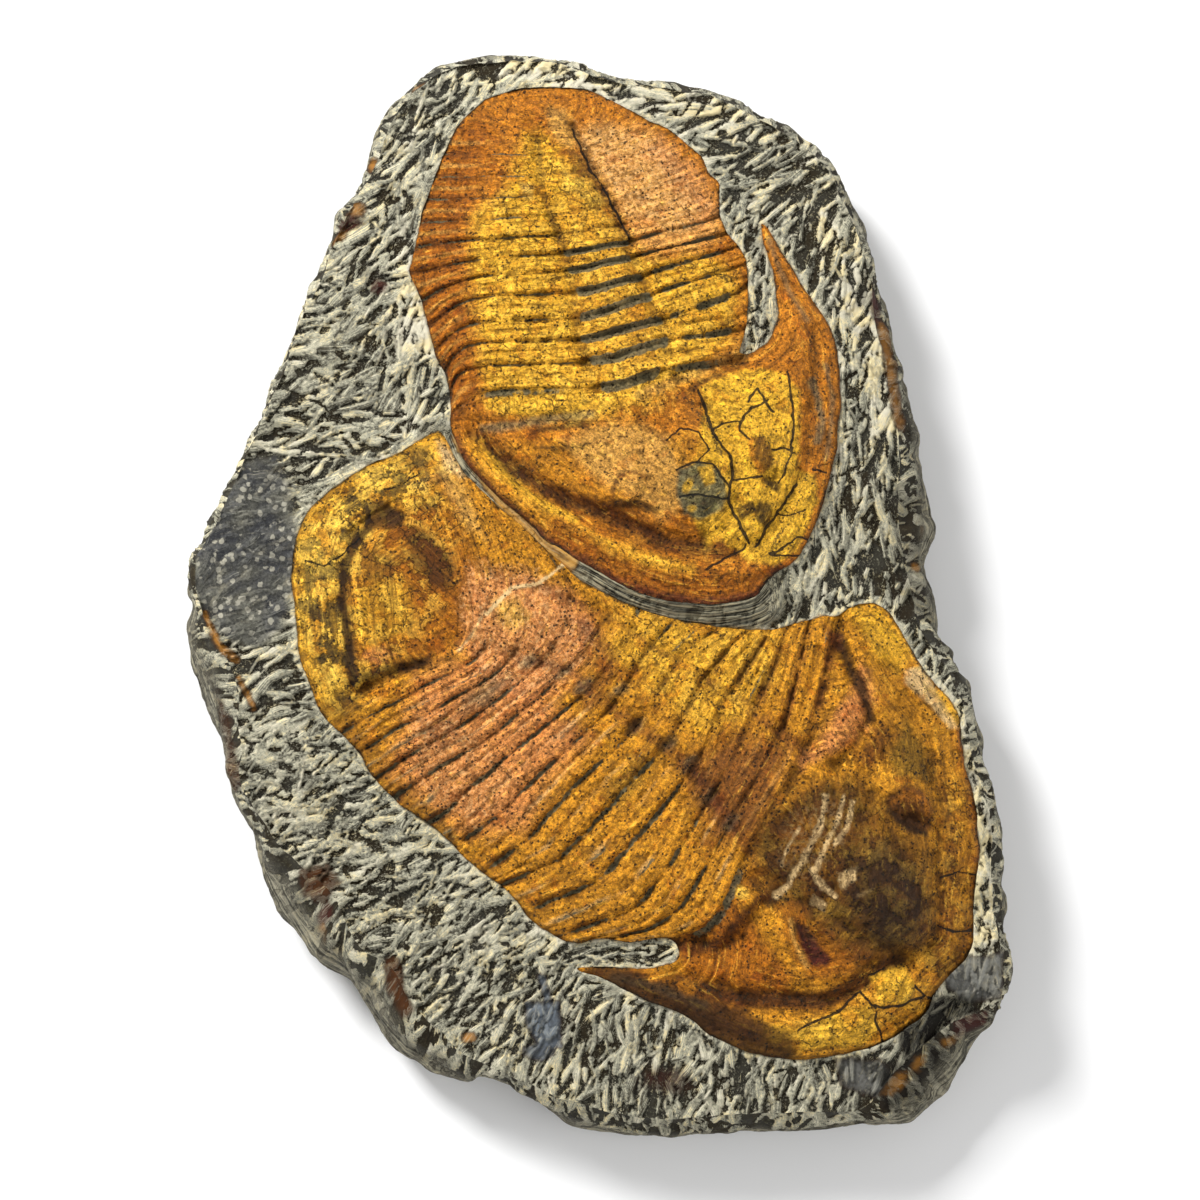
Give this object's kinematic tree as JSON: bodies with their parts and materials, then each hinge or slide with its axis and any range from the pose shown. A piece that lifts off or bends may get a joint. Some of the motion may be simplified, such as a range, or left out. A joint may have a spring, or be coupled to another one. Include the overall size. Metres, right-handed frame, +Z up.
{
  "type": "trilobite fossil plate",
  "caption": "Rough stone slab with a flat sawn underside, holding a large and a smaller fossil trilobite in relief, for lying flat on display.",
  "frame": {"origin": "centre of the slab's box, on the flat sawn underside", "axes": "+Z up out of the fossil face, +Y along the slab's long direction towards the small trilobite's tail, +X to the right in the picture"},
  "size_m": [0.2778, 0.3706, 0.0609],
  "materials": {
    "matrix_stone": "rough charcoal shale with pale tool strokes",
    "large_fossil": "dull orange, ochre and brown fossil shell",
    "small_fossil": "dull golden yellow and orange fossil shell"
  },
  "bodies": {
    "root": {"matrix_slab": "matrix_stone", "large_trilobite": "large_fossil", "small_trilobite": "small_fossil"}
  },
  "joints": []
}
